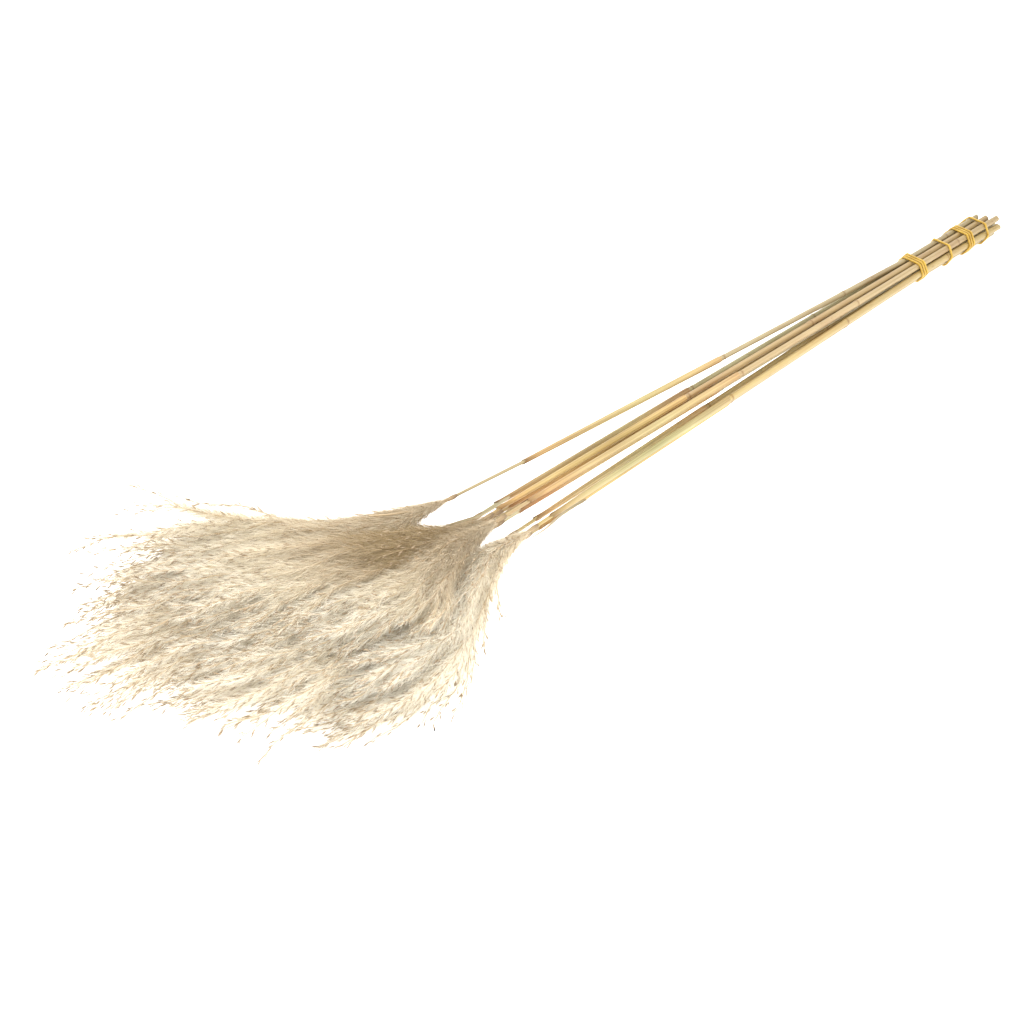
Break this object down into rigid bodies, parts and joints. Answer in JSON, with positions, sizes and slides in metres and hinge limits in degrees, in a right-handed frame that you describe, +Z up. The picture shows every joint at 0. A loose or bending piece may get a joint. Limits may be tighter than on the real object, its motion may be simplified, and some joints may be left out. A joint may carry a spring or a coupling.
{
  "type": "dried miscanthus bundle",
  "caption": "Tied bundle of dried miscanthus lying on its side: straw culms with leaf sheaths, soft fanned plumes, and rubber bands round the cut ends.",
  "frame": {"origin": "middle of the bundle's bounding box, at the height of the surface it lies on", "axes": "+X towards the cut ends, -X towards the plumes, +Z up from the surface"},
  "size_m": [0.762, 0.18, 0.073],
  "materials": {
    "culm": "dry straw, slightly glossy, with raised nodes",
    "sheath": "dry leaf sheath, satin, finely ribbed",
    "plume": "silky cream hairs with small brown spikelets",
    "rubber_band": "amber natural rubber, satin"
  },
  "bodies": {
    "root": {"culm_01": "culm", "sheath_01": "sheath", "plume_01": "plume", "culm_02": "culm", "sheath_02": "sheath", "plume_02": "plume", "culm_03": "culm", "sheath_03": "sheath", "plume_03": "plume", "culm_04": "culm", "sheath_04": "sheath", "plume_04": "plume", "culm_05": "culm", "sheath_05": "sheath", "plume_05": "plume", "culm_06": "culm", "sheath_06": "sheath", "plume_06": "plume", "culm_07": "culm", "sheath_07": "sheath", "plume_07": "plume", "culm_08": "culm", "sheath_08": "sheath", "plume_08": "plume", "culm_09": "culm", "sheath_09": "sheath", "plume_09": "plume", "culm_10": "culm", "sheath_10": "sheath", "plume_10": "plume", "rubber_band_waist": "rubber_band", "rubber_band_end": "rubber_band"}
  },
  "joints": []
}
